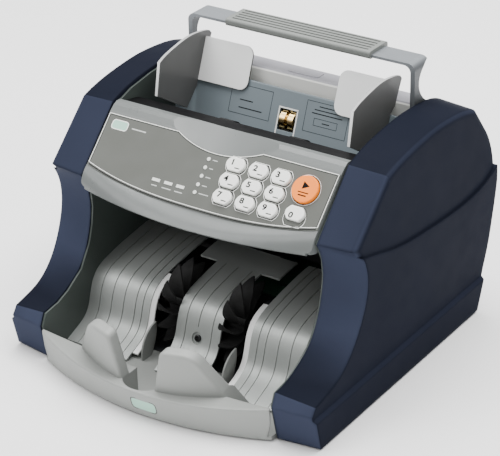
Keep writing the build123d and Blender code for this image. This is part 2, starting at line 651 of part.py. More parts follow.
def note_guide(side):
    """Side guide: wall, rear flap, arm over the back plate, slide block and rack. side is -1 or 1."""
    wall = make_face([
        Line((129, 187), (134.5, 214.7)),
        Spline((134.5, 214.7), (141, 217.4), (157, 221), (173.5, 223.3), (192, 222.2), (205, 219)),
        Line((205, 219), (207.5, 216)),
        Line((207.5, 216), (197, 195.5)),
        Line((197, 195.5), (190, 191.6)),
        Line((190, 191.6), (184.4, 177)),
        Line((184.4, 177), (168.5, 161.6)),
        Line((168.5, 161.6), (129, 187)),
    ])
    body = swept_x(wall, GUIDE_X, GUIDE_X + GUIDE_THICK)
    low = (180.6 - BACK_FOOT[1]) / math.cos(BACK_LEAN)
    high = (215.0 - BACK_FOOT[1]) / math.cos(BACK_LEAN)
    inner = 42.0
    flap = profile([(inner, low), (GUIDE_X + 1, low), (GUIDE_X + 1, high), (inner, high)])
    flap = fillet(flap.vertices().filter_by(lambda v: v.X < inner + 1), radius=8)
    body += BACK_PLANE * Pos(0, 0, 0.6) * extrude(flap, amount=1.6)
    x0, x1 = GUIDE_BLOCK
    body += box(x0, x1, 191.8, 199, 192.6, 195.4)
    body += box(x0, x1, 196.2, 199, 181, 195.4)
    body += box(x0, x1, 193, 200, 172, 182)
    if side < 0:
        body += box(x0, x1, 193, RACK_FRONT, RACK_LOW, 173)
        rack = box(-RACK_REACH, x1, 193, RACK_FRONT, RACK_LOW, RACK_HIGH)
        tooth_y = RACK_FRONT
    else:
        body += box(x0, x1, 199, RACK_REAR + RACK_DEPTH, RACK_LOW, 176)
        rack = box(-RACK_REACH, x1, RACK_REAR, RACK_REAR + RACK_DEPTH, RACK_LOW, RACK_HIGH)
        tooth_y = RACK_REAR
    teeth = int((RACK_REACH + x0) / RACK_PITCH)
    for k in range(teeth):
        x = -RACK_REACH + RACK_PITCH * (k + 0.5)
        rack -= box(x - 0.7, x + 0.7, tooth_y - 1.2, tooth_y + 1.2, RACK_LOW - 1, RACK_HIGH + 1)
    body += rack
    body -= rod_x(GUIDE_ROD, GUIDE_ROD_R + RUN_FIT, x0 - 1, x1 + 1)
    return mirrored(body) if side < 0 else body


def guide_pinion():
    teeth = 16
    middle = (RACK_LOW + RACK_HIGH) / 2
    body = Pos(0, 0, middle) * Cylinder(PINION_R, 8)
    for k in range(teeth):
        notch = Rot(0, 0, 360 / teeth * k) * Pos(PINION_R, 0, middle) * Box(2.4, 1.4, 10)
        body -= notch
    body += Pos(0, 0, (middle + 185.5) / 2) * Cylinder(2.0, 185.5 - middle)
    return Pos(0, PINION_Y, 0) * body


# ---- top and rear --------------------------------------------------------------
def rear_top_cover():
    outer = profile([(201.5, 183), (222, 183), (222, 197), (220.5, 198.4), (203.5, 198.4), (201.5, 196.5)])
    inner = profile([(204, 185.5), (219.5, 185.5), (219.5, 195.9), (204, 195.9)])
    cover = swept_x(outer, -104.5, 104.5) - swept_x(inner, -102, 102)
    cover += Pos(0, 212, 198.2) * extrude(RectangleRounded(30, 11, 2), amount=0.8)
    return cover - Pos(0, PINION_Y, 184) * Cylinder(2.0 + RUN_FIT, 5)


def rear_panel():
    wall_in = REAR_WALL - 2.5
    wall = profile([(REAR_WALL, BASE_TOP), (REAR_WALL, 176), (wall_in, 176), (wall_in, BASE_TOP)])
    panel = swept_x(wall, -PLATE_IN, PLATE_IN)
    panel += box(-104.5, 104.5, REAR_WALL - 2.5, REAR_WALL, 170, 183)
    panel += box(-104.5, 104.5, 222, REAR_WALL, 180.5, 183)
    panel -= box(INLET_X - 16, SWITCH_X + 10, REAR_WALL - 4, REAR_WALL + 1, INLET_Z - 12, INLET_Z + 12)
    for x in (-100, 100):
        for z in (14, 166):
            panel -= Pos(x, REAR_WALL, z) * Cylinder(SCREW_R + 0.1, 12, rotation=(90, 0, 0))
    for x in range(20, 92, 8):
        panel -= box(x - 1.5, x + 1.5, REAR_WALL - 4, REAR_WALL + 1, 136, 160)
    return panel


def mains_inlet():
    """Three-pin inlet and switch housing in one moulding."""
    x0, x1 = INLET_X - 16, SWITCH_X + 10
    z0, z1 = INLET_Z - 12, INLET_Z + 12
    body = box(x0, x1, 222, REAR_WALL, z0, z1)
    body += box(x0 - 4, x1 + 4, REAR_WALL, REAR_WALL + 2, z0 - 4, z1 + 4)
    corner, half_w, half_h = 4.0, 12.2, 8.2
    hexa = Polyline((-half_w, -half_h), (half_w, -half_h), (half_w, half_h - corner), (half_w - corner, half_h),
                    (-half_w + corner, half_h), (-half_w, half_h - corner), close=True)
    socket = Pos(INLET_X, REAR_WALL + 3, INLET_Z) * extrude(Plane.XZ * make_face(hexa), amount=19, dir=(0, -1, 0))
    body -= socket
    for dx, dz in ((-7, -2), (0, 2), (7, -2)):
        body += box(INLET_X + dx - 1, INLET_X + dx + 1, 230, 245, INLET_Z + dz - 2, INLET_Z + dz + 2)
    body -= box(SWITCH_X - 6.9, SWITCH_X + 6.9, 231, REAR_WALL + 3, INLET_Z - 10.2, INLET_Z + 10.2)
    pivot = (SWITCH_PIVOT_Y, INLET_Z)
    return body - rod_x(pivot, 1.5 + RUN_FIT, SWITCH_X - 8.2, SWITCH_X + 8.2)


def power_switch():
    """Rocker tipped to one side about its trunnions."""
    rocker = profile([(-6, -6.5), (1.5, -8.6), (7.4, -8.4), (5.6, 0), (7.4, 8.4), (1.5, 8.6), (-6, 6.5)])
    body = swept_x(rocker, -6.5, 6.5)
    body += rod_x((0, 0), 1.5, -8.1, 8.1)
    body = body.rotate(Axis.X, SWITCH_TILT)
    return Pos(SWITCH_X, SWITCH_PIVOT_Y, INLET_Z) * body


def screw():
    """Pan-head screw standing on z = 0 with its shank below."""
    body = Pos(0, 0, SCREW_HEAD_H / 2) * Cylinder(SCREW_HEAD_R, SCREW_HEAD_H)
    body = fillet(body.edges().sort_by(Axis.Z)[-1], radius=0.9)
    body += Pos(0, 0, -SCREW_L / 2) * Cylinder(SCREW_R, SCREW_L)
    for turn in (0, 90):
        body -= Rot(0, 0, turn) * Pos(0, 0, SCREW_HEAD_H) * Box(3.4, 0.8, 1.6)
    return body


def case_screws():
    """The centre bed's screw and the four in the rear panel."""
    screws = [screw_seat() * Pos(0, 0, -1.5) * screw()]
    for x in (-100, 100):
        for z in (14, 166):
            rear = Plane(origin=(x, REAR_WALL, z), x_dir=(1, 0, 0), z_dir=(0, 1, 0))
            screws.append(rear * screw())
    return screws


def main_board():
    board = box(-30, 50, 164, 236, BASE_TOP + 4, BASE_TOP + 5.6)
    top = BASE_TOP + 5.6
    for x, y, w, d, h in ((0, 190, 16, 16, 3), (28, 185, 12, 20, 3), (-18, 215, 8, 12, 8),
                          (20, 222, 30, 6, 9), (38, 205, 9, 9, 14)):
        board += box(x - w / 2, x + w / 2, y - d / 2, y + d / 2, top, top + h)
    return board


def power_supply():
    """Mains transformer: laminated core round two coils, standing on the floor pan."""
    core = box(-96, -44, 168, 208, BASE_TOP, BASE_TOP + 44)
    core -= box(-84, -56, 160, 215, BASE_TOP + 10, BASE_TOP + 34)
    coil = box(-83.5, -56.5, 162, 214, BASE_TOP + 10, BASE_TOP + 34)
    return core + coil


def handle_strap():
    """Flat strap on two waisted posts that turn on trunnions in the side plates."""
    y0, z0 = HANDLE_PIVOT
    front, rear = y0 - 9, 222
    outline = make_face([
        Line((front, z0), (front, STRAP_HIGH)), Line((front, STRAP_HIGH), (rear, STRAP_HIGH)),
        Line((rear, STRAP_HIGH), (rear, STRAP_LOW)),
        Spline((rear, STRAP_LOW), (212, 226), (207.4, 219), (206.8, 213), (210, 205), (218, 197)),
        Line((218, 197), (218, z0)), ThreePointArc((218, z0), (y0, z0 - 9), (front, z0)),
    ])
    post = swept_x(outline, HANDLE_POST_IN, HANDLE_POST_OUT)
    gusset_r, round_r = 6.0, 6.5
    gusset = Pos(HANDLE_POST_IN - gusset_r / 2, STRAP_LOW - gusset_r / 2) * Rectangle(gusset_r, gusset_r)
    gusset -= Pos(HANDLE_POST_IN - gusset_r, STRAP_LOW - gusset_r) * Circle(gusset_r)
    gusset = Plane.XZ * Pos(0, 0, -rear) * extrude(gusset, amount=rear - front)
    post += gusset
    post += box(0, HANDLE_POST_OUT, front, rear, STRAP_LOW, STRAP_HIGH)
    corner = Pos(HANDLE_POST_OUT, STRAP_HIGH) * Rectangle(2 * round_r, 2 * round_r)
    corner -= Pos(HANDLE_POST_OUT - round_r, STRAP_HIGH - round_r) * Circle(round_r)
    post -= Plane.XZ * Pos(0, 0, -rear - 1) * extrude(corner, amount=rear - front + 2)
    post += rod_x(HANDLE_PIVOT, HANDLE_PIN_R, HANDLE_POST_OUT, PLATE_OUT)
    return post + mirrored(post)


def handle_grip():
    """Soft sleeve round the strap with broad ribs along it."""
    section = Pos(211.5, 233.2) * RectangleRounded(28.0, 6.6, 2.4)
    sleeve = swept_x(section, -GRIP_HALF, GRIP_HALF)
    groove, pitch = 1.9, 4.7
    for k in range(-2, 3):
        y = 211.5 + pitch * k
        sleeve -= box(-GRIP_HALF + 4, GRIP_HALF - 4, y - groove / 2, y + groove / 2, TOP_Z - 0.9, TOP_Z + 1)
    return sleeve - box(-GRIP_HALF - 1, GRIP_HALF + 1, 200, 222, STRAP_LOW, STRAP_HIGH)


# ---- write every piece ---------------------------------------------------------
def build():
    shafts = (STACKER, DRUM, FEED)
    motor_hole = rod_x(MOTOR, 5.0, PLATE_IN - 1, PLATE_OUT + 1)
    right_plate = side_plate(shafts)
    bed_side = side_bed()
    cover = side_cover()
    wheel = stacker_wheel()
    pieces = {
        "base_plate": base_plate(),
        "left_side_plate": mirrored(right_plate),
        "right_side_plate": right_plate - motor_hole,
        "left_side_cover": mirrored(cover),
        "right_side_cover": cover,
        "panel_bezel": panel_bezel(),
        "panel_overlay": panel_overlay(),
        "indicator_lamps": indicator_lamps(),
        "key_board": key_board(),
        "key_domes": key_domes(),
        "start_key": start_key(),
        "front_tray": front_tray(),
        "left_stacker_bed": mirrored(bed_side),
        "centre_stacker_bed": centre_bed(),
        "right_stacker_bed": bed_side,
        "slot_strips": slot_strips(),
        "case_screws": case_screws(),
        "shaft_bearings": bushes(),
        "drum_belt": belt(MOTOR, 8, DRUM, 16, 114),
        "feed_belt": belt(DRUM, 12, FEED, 12, -122),
        "feed_motor": feed_motor(),
        "stacker_motor": stacker_motor(),
        "motor_pulley": motor_pulley(),
        "hopper_back_plate": hopper_back_plate(),
        "window_roller": window_roller(),
        "hopper_floor": hopper_floor(),
        "inner_note_guide": inner_note_guide(),
        "count_sensors": count_sensors(),
        "guide_rod": rod_x(GUIDE_ROD, GUIDE_ROD_R, -PLATE_IN, PLATE_IN),
        "guide_pinion": guide_pinion(),
        "left_note_guide": note_guide(-1),
        "right_note_guide": note_guide(1),
        "rear_top_cover": rear_top_cover(),
        "rear_panel": rear_panel(),
        "mains_inlet": mains_inlet(),
        "power_switch": power_switch(),
        "main_board": main_board(),
        "power_supply": power_supply(),
        "rubber_feet": rubber_feet(),
        "handle_strap": handle_strap(),
        "handle_grip": handle_grip(),
        "stacker_shaft": shaft(STACKER, -114, 130),
        "left_stacker_wheel": mirrored(wheel),
        "right_stacker_wheel": wheel,
        "drum_shaft": shaft(DRUM, -123, 123),
        "drum_rollers": [rubber_roller(DRUM, DRUM_R, x0, x0 + 22) for x0 in (-84, -45, 23, 62)],
        "drum_pulleys": [pulley(DRUM, 16, 114, SHAFT_R), pulley(DRUM, 12, -122, SHAFT_R)],
        "feed_shaft": shaft(FEED, -123, 114),
        "feed_rollers": [rubber_roller(FEED, FEED_R, FEED_SLOT_IN + 2, FEED_SLOT_OUT - 2),
                         rubber_roller(FEED, FEED_R, -FEED_SLOT_OUT + 2, -FEED_SLOT_IN - 2)],
        "feed_pulley": pulley(FEED, 12, -122, SHAFT_R),
    }
    for digit, at in key_places().items():
        pieces[f"key_{digit}"] = digit_key(at)
    return pieces


def write(pieces):
    os.makedirs("parts", exist_ok=True)
    for name, piece in pieces.items():
        solids = piece if isinstance(piece, list) else [piece]
        moved = [Pos(0, -ORIGIN_Y, 0) * solid for solid in solids]
        shape = moved[0] if len(moved) == 1 else Compound(children=moved)
        export_step(shape, f"parts/{name}.step")


write(build())
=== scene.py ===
import json
import math

import bpy
from mathutils import Matrix, Vector
from mathutils.bvhtree import BVHTree


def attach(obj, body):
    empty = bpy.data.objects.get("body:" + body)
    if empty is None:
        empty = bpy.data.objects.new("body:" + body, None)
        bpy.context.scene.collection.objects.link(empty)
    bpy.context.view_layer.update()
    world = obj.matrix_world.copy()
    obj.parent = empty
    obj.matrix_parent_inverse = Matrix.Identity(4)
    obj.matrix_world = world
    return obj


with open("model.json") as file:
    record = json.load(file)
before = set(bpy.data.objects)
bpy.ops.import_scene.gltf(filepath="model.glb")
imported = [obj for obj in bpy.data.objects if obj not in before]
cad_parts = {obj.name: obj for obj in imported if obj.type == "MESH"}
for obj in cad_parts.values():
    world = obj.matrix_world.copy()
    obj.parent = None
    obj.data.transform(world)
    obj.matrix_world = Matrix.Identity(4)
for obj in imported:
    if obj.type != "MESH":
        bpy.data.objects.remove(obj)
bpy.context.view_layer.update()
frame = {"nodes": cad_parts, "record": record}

NODES = frame["nodes"]
MM = 0.001


# ---- camera --------------------------------------------------------------------
AZIMUTH = math.radians(34.534)
ELEVATION = math.radians(27.673)
ROLL = math.radians(-1.235)
DISTANCE = 1.6198
TARGET = Vector((-0.00606, 0.033517, 0.0800))
LENS, SENSOR_WIDTH, LENS_SHIFT = 140.8, 36.0, -0.0206


def add_camera():
    """Camera at the front right, from above, through a long lens."""
    back = Vector((math.sin(AZIMUTH) * math.cos(ELEVATION), -math.cos(AZIMUTH) * math.cos(ELEVATION),
                   math.sin(ELEVATION)))
    level = (-back).cross(Vector((0, 0, 1))).normalized()
    upright = level.cross(-back)
    right = level * math.cos(ROLL) + upright * math.sin(ROLL)
    up = upright * math.cos(ROLL) - level * math.sin(ROLL)
    data = bpy.data.cameras.new("camera")
    data.lens, data.sensor_width = LENS, SENSOR_WIDTH
    data.shift_x = LENS_SHIFT
    camera = bpy.data.objects.new("camera", data)
    spot = TARGET + back * DISTANCE
    camera.matrix_world = Matrix((
        (right.x, up.x, back.x, spot.x),
        (right.y, up.y, back.y, spot.y),
        (right.z, up.z, back.z, spot.z),
        (0, 0, 0, 1)))
    bpy.context.scene.collection.objects.link(camera)
    bpy.context.scene.camera = camera


add_camera()


# ---- stage ---------------------------------------------------------------------
FLOOR_HALF = 6.0
FLOOR_DROP = 0.0002         # how far the floor lies below the feet
FLOOR_COLOUR = (0.95, 0.95, 0.95, 1)
SKY_STRENGTH = 0.8
KEY_POWER, TOP_POWER = 16, 105


def area_light(name, place, aim, size, power):
    data = bpy.data.lights.new(name, "AREA")
    data.shape, data.size, data.size_y = "RECTANGLE", size[0], size[1]
    data.energy = power
    light = bpy.data.objects.new(name, data)
    light.location = place
    light.rotation_euler = (Vector(aim) - Vector(place)).to_track_quat("-Z", "Y").to_euler()
    bpy.context.scene.collection.objects.link(light)


def add_stage():
    mesh = bpy.data.meshes.new("floor")
    corners = ((-1, -1), (1, -1), (1, 1), (-1, 1))
    mesh.from_pydata([(x * FLOOR_HALF, y * FLOOR_HALF, 0) for x, y in corners], [], [(0, 1, 2, 3)])
    floor = bpy.data.objects.new("floor", mesh)
    floor.location.z = -FLOOR_DROP
    bpy.context.scene.collection.objects.link(floor)
    paint = bpy.data.materials.new("floor_paint")
    paint.use_nodes = True
    shader = paint.node_tree.nodes["Principled BSDF"]
    shader.inputs["Base Color"].default_value = FLOOR_COLOUR
    shader.inputs["Roughness"].default_value = 0.7
    mesh.materials.append(paint)
    world = bpy.data.worlds.new("world")
    world.use_nodes = True
    world.node_tree.nodes["Background"].inputs["Color"].default_value = (1.0, 1.0, 1.0, 1)
    world.node_tree.nodes["Background"].inputs["Strength"].default_value = SKY_STRENGTH
    bpy.context.scene.world = world
    area_light("key_light", (-1.0, -1.1, 1.5), (0, 0, 0.1), (1.1, 1.0), KEY_POWER)
    area_light("top_light", (0.0, 0.4, 1.9), (0, 0.05, 0.1), (2.2, 1.8), TOP_POWER)


add_stage()


# ---- materials -----------------------------------------------------------------
NOISE_LOW, NOISE_HIGH = 0.3, 0.7          # the span that a noise texture mostly fills
TONE_LOW, TONE_HIGH = 0.32, 0.68
SHADE_FROM, SHADE_FULL = 0.5, 0.95      # share of a normal along an axis where the painted shade starts and ends
DRIFT_SCALE, GLOSS_SCALE, SWELL_SCALE = 14, 60, 9
GRAIN_HEIGHT, SWELL_HEIGHT = 0.00012, 0.0008
STROKE_SCALE = 900
MIX_FIRST, MIX_SECOND, MIX_RESULT = 6, 7, 2     # the colour sockets of a mix node


class Paint:
    """A node material under construction; textures sit in the shared frame at rest, in metres."""

    def __init__(self, name):
        self.material = bpy.data.materials.new(name)
        self.material.use_nodes = True
        self.tree = self.material.node_tree
        self.shader = self.tree.nodes["Principled BSDF"]
        self.coords = self.add("ShaderNodeTexCoord").outputs["Object"]

    def add(self, kind, **values):
        node = self.tree.nodes.new(kind)
        for key, value in values.items():
            setattr(node, key, value)
        return node

    def link(self, output, target):
        self.tree.links.new(output, target)

    def set(self, **values):
        for key, value in values.items():
            self.shader.inputs[key.replace("_", " ")].default_value = value

    def stretched(self, x, y, z):
        node = self.add("ShaderNodeMapping")
        node.inputs["Scale"].default_value = (x, y, z)
        self.link(self.coords, node.inputs["Vector"])
        return node.outputs["Vector"]

    def noise(self, scale, detail=3.0, vector=None, roughness=0.5):
        node = self.add("ShaderNodeTexNoise")
        node.inputs["Scale"].default_value = scale
        node.inputs["Detail"].default_value = detail
        node.inputs["Roughness"].default_value = roughness
        self.link(vector or self.coords, node.inputs["Vector"])
        return node.outputs["Fac"]

    def speckle(self, scale):
        node = self.add("ShaderNodeTexVoronoi")
        node.inputs["Scale"].default_value = scale
        self.link(self.coords, node.inputs["Vector"])
        return node.outputs["Distance"]

    def ramp(self, value, stops):
        node = self.add("ShaderNodeValToRGB")
        elements = node.color_ramp.elements
        while len(elements) < len(stops):
            elements.new(0.5)
        for element, (place, colour) in zip(elements, stops):
            element.position = place
            element.color = (*colour, 1)
        self.link(value, node.inputs["Fac"])
        return node.outputs["Color"]

    def remap(self, value, low, high):
        node = self.add("ShaderNodeMapRange")
        node.inputs["From Min"].default_value = NOISE_LOW
        node.inputs["From Max"].default_value = NOISE_HIGH
        node.inputs["To Min"].default_value = low
        node.inputs["To Max"].default_value = high
        self.link(value, node.inputs["Value"])
        return node.outputs["Result"]

    def colour_between(self, value, dark, light):
        self.link(self.ramp(value, [(TONE_LOW, dark), (TONE_HIGH, light)]), self.shader.inputs["Base Color"])

    def facing(self, axis, amount):
        """Painted-shade factor: 1 on most faces, falling to amount on faces square to an axis of the piece.
        """
        parts = self.add("ShaderNodeSeparateXYZ")
        self.link(self.add("ShaderNodeTexCoord").outputs["Normal"], parts.inputs["Vector"])
        size = self.add("ShaderNodeMath", operation="ABSOLUTE")
        self.link(parts.outputs[axis], size.inputs[0])
        factor = self.add("ShaderNodeMapRange")
        factor.inputs["From Min"].default_value = SHADE_FROM
        factor.inputs["From Max"].default_value = SHADE_FULL
        factor.inputs["To Min"].default_value = 1.0
        factor.inputs["To Max"].default_value = amount
        self.link(size.outputs[0], factor.inputs["Value"])
        return factor.outputs["Result"]

    def deepen(self, flank_shade, crown_shade):
        """Painted shade: darker base colour on the flanks, which look along X, and the crown, which looks up
        or down, in place of the light falling off there.
        """
        shade_amount = self.add("ShaderNodeMath", operation="MULTIPLY")
        self.link(self.facing("X", flank_shade), shade_amount.inputs[0])
        self.link(self.facing("Z", crown_shade), shade_amount.inputs[1])
        scaled = self.add("ShaderNodeVectorMath", operation="SCALE")
        base = self.shader.inputs["Base Color"]
        self.link(base.links[0].from_socket, scaled.inputs[0])
        self.link(shade_amount.outputs[0], scaled.inputs["Scale"])
        self.link(scaled.outputs["Vector"], base)

    def round_edges(self, radius):
        """Softens the look of every edge to this radius, in metres."""
        node = self.add("ShaderNodeBevel", samples=6)
        node.inputs["Radius"].default_value = radius
        return node.outputs["Normal"]

    def rough_between(self, value, low, high):
        self.link(self.remap(value, low, high), self.shader.inputs["Roughness"])

    def bumps(self, *layers, normal=None):
        """Stack of (height output, strength, distance in metres)."""
        for height, strength, distance in layers:
            node = self.add("ShaderNodeBump")
            node.inputs["Strength"].default_value = strength
            node.inputs["Distance"].default_value = distance
            self.link(height, node.inputs["Height"])
            if normal:
                self.link(normal, node.inputs["Normal"])
            normal = node.outputs["Normal"]
        self.link(normal, self.shader.inputs["Normal"])


def shade(colour, factor):
    return tuple(min(c * factor, 1.0) for c in colour)


def moulded(name, colour, rough=0.45, grain=1400, grain_depth=0.25, drift=0.06, coat=0.0, gloss=0.35,
            flank_shade=1.0, crown_shade=1.0, edge=0.0006):
    """Moulded plastic: spark-eroded grain, slow drift of tone and gloss, soft edges, and painted shade on
    faces that look along X or up and down when asked for.
    """
    p = Paint(name)
    p.colour_between(p.noise(DRIFT_SCALE, 4), shade(colour, 1 - drift), shade(colour, 1 + drift))
    p.rough_between(p.noise(GLOSS_SCALE, 5), rough - 0.05, rough + 0.07)
    p.bumps((p.noise(grain, 2), grain_depth, GRAIN_HEIGHT), (p.noise(SWELL_SCALE, 2), 0.03, SWELL_HEIGHT),
            normal=p.round_edges(edge))
    p.set(Specular_IOR_Level=gloss, Coat_Weight=coat, Coat_Roughness=0.12)
    # painted shade on the faces that look along X or up and down
    if (flank_shade, crown_shade) != (1.0, 1.0):
        p.deepen(flank_shade, crown_shade)
    return p.material


def brushed(name, colour, along, rough=0.32, metallic=0.85, depth=0.12, flank_shade=1.0):
    """Brushed or satin metal; along is the (x, y, z) stretch, small where the strokes run; painted shade on
    faces that look along X when asked for.
    """
    p = Paint(name)
    strokes = p.noise(STROKE_SCALE, 3, p.stretched(*along), 0.6)
    p.colour_between(p.noise(20, 4), shade(colour, 0.94), shade(colour, 1.05))
    p.rough_between(strokes, rough - 0.06, rough + 0.10)
    p.bumps((strokes, depth, 0.00008))
    p.set(Metallic=metallic)
    # painted shade on the faces that look along X
    if flank_shade != 1.0:
        p.deepen(flank_shade, 1.0)
    return p.material


def soft_rubber(name, colour, rough=0.62):
    p = Paint(name)
    p.colour_between(p.noise(80, 5), shade(colour, 0.8), shade(colour, 1.5))
    p.rough_between(p.noise(300, 4), rough - 0.1, rough + 0.12)
    p.bumps((p.noise(1800, 2), 0.3, 0.0001))
    p.set(Specular_IOR_Level=0.18)
    return p.material


def printed_board():
    p = Paint("board_green")
    p.colour_between(p.noise(180, 6), (0.002, 0.012, 0.006), (0.006, 0.030, 0.014))
    p.rough_between(p.noise(400, 3), 0.25, 0.45)
    p.bumps((p.speckle(500), 0.2, 0.0002))
    return p.material


def two_tone_cover(name, low, high, change_z):
    """Rear cover: one tone on its front face and another on its top, split at a height."""
    p = Paint(name)
    split = p.add("ShaderNodeSeparateXYZ")
    p.link(p.coords, split.inputs["Vector"])
    edge = p.add("ShaderNodeMapRange")
    blend = 0.0002
    edge.inputs["From Min"].default_value = change_z - blend
    edge.inputs["From Max"].default_value = change_z + blend
    p.link(split.outputs["Z"], edge.inputs["Value"])
    drift = p.noise(DRIFT_SCALE, 4)
    mixed = p.add("ShaderNodeMix", data_type="RGBA")
    p.link(edge.outputs["Result"], mixed.inputs["Factor"])
    for tone, socket in ((low, MIX_FIRST), (high, MIX_SECOND)):
        stops = [(NOISE_LOW, shade(tone, 0.96)), (NOISE_HIGH, shade(tone, 1.03))]
        p.link(p.ramp(drift, stops), mixed.inputs[socket])
    p.link(mixed.outputs[MIX_RESULT], p.shader.inputs["Base Color"])
    p.rough_between(p.noise(GLOSS_SCALE, 5), 0.36, 0.48)
    p.bumps((p.noise(1800, 2), 0.15, GRAIN_HEIGHT), (p.noise(SWELL_SCALE, 2), 0.12, SWELL_HEIGHT))
    return p.material


def ground_steel(name, colour=(0.56, 0.56, 0.57), rough=0.28):
    return brushed(name, colour, (0.15, 1, 1), rough=rough, metallic=1.0, depth=0.08)


MATERIALS = {
    # navy: painted shade on the faces that look along X and, stronger, on the faces that look up or down
    "navy_plastic": moulded("navy_plastic", (0.034, 0.040, 0.066), rough=0.40, grain=1000, grain_depth=0.7,
                            drift=0.05, gloss=0.006, flank_shade=0.31, crown_shade=0.26, edge=0.004),
    "silver_plastic": moulded("silver_plastic", (0.115, 0.125, 0.122), rough=0.32, grain=2200,
                              grain_depth=0.12, drift=0.03, coat=0.06, gloss=0.5, edge=0.0002),
    # pale grey: a light painted shade on the faces that look along X
    "pale_grey_plastic": moulded("pale_grey_plastic", (0.27, 0.28, 0.268), rough=0.40, grain=1800,
                                 grain_depth=0.2, drift=0.03, flank_shade=0.8, edge=0.0015),
    "overlay_film": moulded("overlay_film", (0.084, 0.088, 0.078), rough=0.42, grain=2600,
                            grain_depth=0.15, drift=0.03),
    "lamp_lens": moulded("lamp_lens", (0.66, 0.68, 0.64), rough=0.25, grain=2200, grain_depth=0.1,
                         drift=0.03, coat=0.4),
    "key_plastic": moulded("key_plastic", (0.88, 0.89, 0.85), rough=0.30, grain=2400, grain_depth=0.1,
                           drift=0.02, coat=0.2),
    "start_plastic": moulded("start_plastic", (1.0, 0.24, 0.02), rough=0.35, grain=2400, grain_depth=0.1,
                             drift=0.03, gloss=0.2),
    "circuit_board": printed_board(),
    "dome_rubber": soft_rubber("dome_rubber", (0.2, 0.2, 0.21)),
    "bed_metal": brushed("bed_metal", (0.40, 0.42, 0.405), (1, 0.02, 0.02), rough=0.42, metallic=0.45,
                         depth=0.10),
    "white_plastic": moulded("white_plastic", (0.96, 0.96, 0.95), rough=0.35, grain=2000,
                             grain_depth=0.1, drift=0.02),
    "black_plastic": moulded("black_plastic", (0.004, 0.004, 0.0045), rough=0.5, grain=1500,
                             grain_depth=0.3, drift=0.1, gloss=0.06),
    "black_rubber": soft_rubber("black_rubber", (0.014, 0.014, 0.014)),
    "plate_paint": moulded("plate_paint", (0.050, 0.062, 0.056), rough=0.40, grain=900, grain_depth=0.2,
                           drift=0.1),
    "steel": ground_steel("steel"),
    "screw_steel": ground_steel("screw_steel", (0.05, 0.05, 0.052), rough=0.3),
    "bronze": brushed("bronze", (0.55, 0.38, 0.18), (1, 1, 1), rough=0.4, metallic=1.0),
    "brass": brushed("brass", (0.83, 0.60, 0.27), (0.1, 1, 1), rough=0.18, metallic=1.0, depth=0.05),
    "motor_case": brushed("motor_case", (0.34, 0.35, 0.36), (0.1, 1, 1), rough=0.4, metallic=0.9),
    "hopper_plastic": moulded("hopper_plastic", (0.17, 0.205, 0.225), rough=0.36, grain=1800,
                              grain_depth=0.15, drift=0.04),
    "lavender_plastic": two_tone_cover("lavender_plastic", low=(0.88, 0.88, 0.84),
                                       high=(0.42, 0.415, 0.455), change_z=0.1975),
    # handle: painted shade on the faces that look along X
    "handle_metal": brushed("handle_metal", (0.20, 0.215, 0.23), (0.05, 1, 1), rough=0.40, metallic=0.4,
                            flank_shade=0.4),
    "grip_plastic": moulded("grip_plastic", (0.17, 0.18, 0.17), rough=0.42, grain=1600, grain_depth=0.25,
                            drift=0.04),
    "base_metal": moulded("base_metal", (0.035, 0.036, 0.040), rough=0.45, grain=800, grain_depth=0.25,
                          drift=0.1),
    "core_iron": brushed("core_iron", (0.12, 0.12, 0.12), (0.02, 1, 1), rough=0.5, metallic=0.8,
                         depth=0.4),
    # guides: deep painted shade on the faces that look along X and painted shade on those that look up or
    # down
    "guide_plastic": moulded("guide_plastic", (0.90, 0.91, 0.90), rough=0.36, grain=2000,
                             grain_depth=0.12, drift=0.03, flank_shade=0.09, crown_shade=0.4),
}
EDGE_WIDTH = 0.3 * MM
EDGE_ANGLE = math.radians(35)


def finish_cad_nodes():
    """Every CAD node gets its slot's material and a fine bevel that catches the light."""
    slots = {entry["node"]: entry["material_slot"] for entry in frame["record"]["subparts"]}
    for name, node in NODES.items():
        node.data.materials.clear()
        node.data.materials.append(MATERIALS[slots[name]])
        bevel = node.modifiers.new("edge", "BEVEL")
        bevel.width, bevel.segments, bevel.limit_method = EDGE_WIDTH, 2, "ANGLE"
        bevel.angle_limit = EDGE_ANGLE
        bevel.harden_normals = True


finish_cad_nodes()


# ---- prints --------------------------------------------------------------------
# Outlines below are in millimetres in the plane of the face they are printed on.
ORIGIN_Y = 116.25           # y in the CAD drawing, less this, is y in the shared frame
PANEL_HALF = 109.2
PANEL_FOOT = (57.2, 151.0)  # y and z of the panel's zero line in the drawing frame
PANEL_SLOPE = math.radians(45)
PANEL_TOP, SWOOP_HALF, SWOOP_DEPTH = 46.3, 40.0, 9.7
PANEL_DROP, PANEL_SWEEP, SWEEP_POWER = 12.3, 12.1, 2.6     # the panel's curved lower edge
PLATE_FOOT = (172.6, 142.0)
PLATE_SLOPE = math.radians(90 - 21.5)
KEY_COLUMNS = (21.7, 42.7, 63.5)
KEY_ROWS = (31.6, 17.7, 4.0)
ZERO_AT = (87.2, 4.0)
KEY_HALF_WIDE, KEY_HALF_HIGH = 8.4, 5.7
RING_STEPS = (0.5, 0.95, 1.3)             # dark ring between the first two, white between the last two
FIGURE_SIZE, FIGURE_STRETCH = 6.4, 1.2
START_AT, START_R = (87.2, 27.6), 11.2
LAMP_X, LAMP_ROWS = -4.0, (30.5, 23.3, 15.9, 8.6, 1.9)
LAMP_DASHES = (4.6, 3.6, 4.6, 4.6, 9.0)   # length of the dash beside each round lamp
BAR_AT, BAR_U = (-41.8, -29.9, -18.3), 2.8
BAR_DASHES = (5.4, 8.6, 7.4)              # length of the dash under each bar lamp
NAME_DASH = (-83, 37.6, 14.0, 1.0)        # start x, height, length and width
PANEL_BADGE_AT = (-95.0, 37.8)
